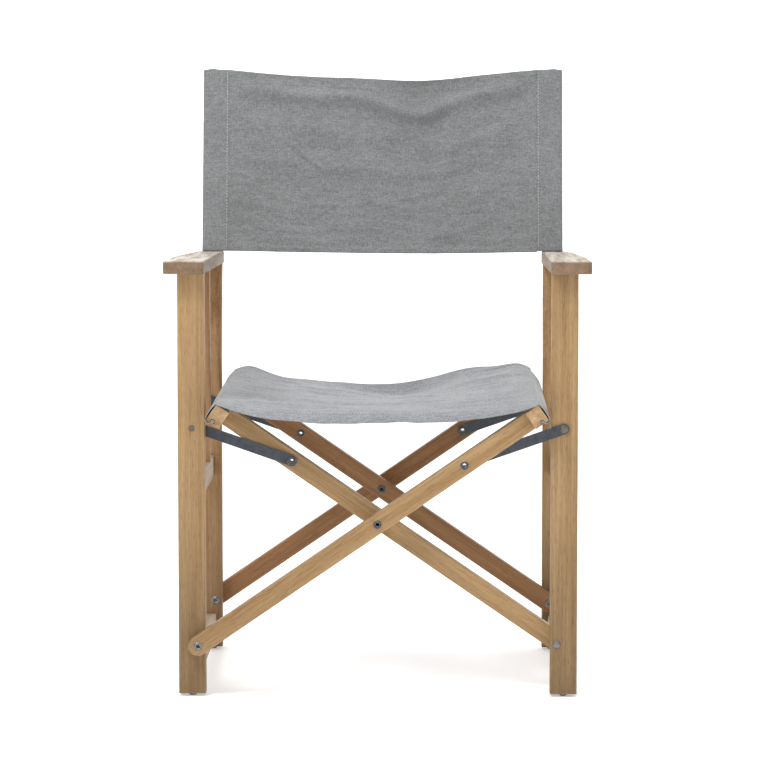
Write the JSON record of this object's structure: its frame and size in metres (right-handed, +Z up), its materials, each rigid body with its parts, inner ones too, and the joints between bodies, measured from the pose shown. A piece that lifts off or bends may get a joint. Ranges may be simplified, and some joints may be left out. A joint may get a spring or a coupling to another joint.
{
  "type": "folding chair",
  "caption": "Folding armchair with crossing wooden bars under a sling seat, steel stay links, flat armrests and a canvas back.",
  "frame": {"origin": "on the floor at the centre of the chair's outline", "axes": "+X across the chair, +Y towards the back, +Z up; the sitter faces -Y"},
  "size_m": [0.592, 0.5361, 0.8678],
  "materials": {
    "frame_wood": "oiled, fine grain",
    "rear_wood": "oiled, darker, fine grain",
    "armrest_wood": "weathered, open grain",
    "dowel_wood": "plain",
    "rivet_steel": "dull zinc",
    "link_steel": "satin gunmetal",
    "seat_canvas": "washed cotton canvas",
    "back_canvas": "washed cotton canvas"
  },
  "bodies": {
    "left_side": {"left_front_leg": "frame_wood", "left_rear_leg": "rear_wood", "left_armrest": "armrest_wood", "left_lower_rail": "rear_wood", "left_mid_rail": "rear_wood", "left_arm_strut": "frame_wood", "left_dowels": "dowel_wood", "left_glides": "rivet_steel", "left_pivot_rivets": "rivet_steel", "left_pivot_washers": "rivet_steel", "left_link_rivets": "link_steel", "back_canvas": "back_canvas"},
    "right_side": {"right_front_leg": "frame_wood", "right_rear_leg": "rear_wood", "right_armrest": "armrest_wood", "right_lower_rail": "rear_wood", "right_mid_rail": "rear_wood", "right_arm_strut": "frame_wood", "right_dowels": "dowel_wood", "right_glides": "rivet_steel", "right_pivot_rivets": "rivet_steel", "right_pivot_washers": "rivet_steel", "right_link_rivets": "link_steel"},
    "outer_frame": {"outer_front_bar": "frame_wood", "outer_rear_bar": "rear_wood", "right_seat_rail": "frame_wood", "right_canvas_rod": "dowel_wood", "outer_rail_screws": "rivet_steel", "outer_link_rivets": "rivet_steel"},
    "inner_frame": {"inner_front_bar": "frame_wood", "inner_rear_bar": "rear_wood", "left_seat_rail": "frame_wood", "left_canvas_rod": "dowel_wood", "inner_rail_screws": "rivet_steel", "inner_link_rivets": "rivet_steel", "centre_rivets": "rivet_steel", "centre_spacers": "dowel_wood", "seat_canvas": "seat_canvas"},
    "left_links": {"left_front_link": "link_steel", "left_rear_link": "link_steel", "left_link_eyelets": "rivet_steel"},
    "right_links": {"right_front_link": "link_steel", "right_rear_link": "link_steel", "right_link_eyelets": "rivet_steel"}
  },
  "joints": [
    {"name": "fold", "type": "hinge", "parent": "left_side", "child": "outer_frame", "pos_m": [-0.25, 0, 0.0745], "axis": [0, -1, 0], "range_deg": [0, 39.7]},
    {"name": "centre_pivot", "type": "hinge", "parent": "outer_frame", "child": "inner_frame", "pos_m": [0, 0, 0.24632], "axis": [0, -1, 0], "range_deg": [-84, 0], "deforming": ["seat_canvas"]},
    {"name": "right_foot_pivot", "type": "hinge", "parent": "inner_frame", "child": "right_side", "pos_m": [0.25, 0, 0.0745], "axis": [0, -1, 0], "range_deg": [0, 39.7], "deforming": ["back_canvas"]},
    {"name": "left_link_pivot", "type": "hinge", "parent": "left_side", "child": "left_links", "pos_m": [-0.259, 0, 0.37772], "axis": [0, -1, 0], "range_deg": [0, 84]},
    {"name": "right_link_pivot", "type": "hinge", "parent": "right_side", "child": "right_links", "pos_m": [0.259, 0, 0.37772], "axis": [0, -1, 0], "range_deg": [-84, 0]}
  ],
  "couplings": [
    {"joint": "centre_pivot", "follows": "fold", "ratio": -2.112},
    {"joint": "right_foot_pivot", "follows": "fold", "ratio": 1},
    {"joint": "left_link_pivot", "follows": "fold", "ratio": 2.112},
    {"joint": "right_link_pivot", "follows": "fold", "ratio": -2.112}
  ]
}
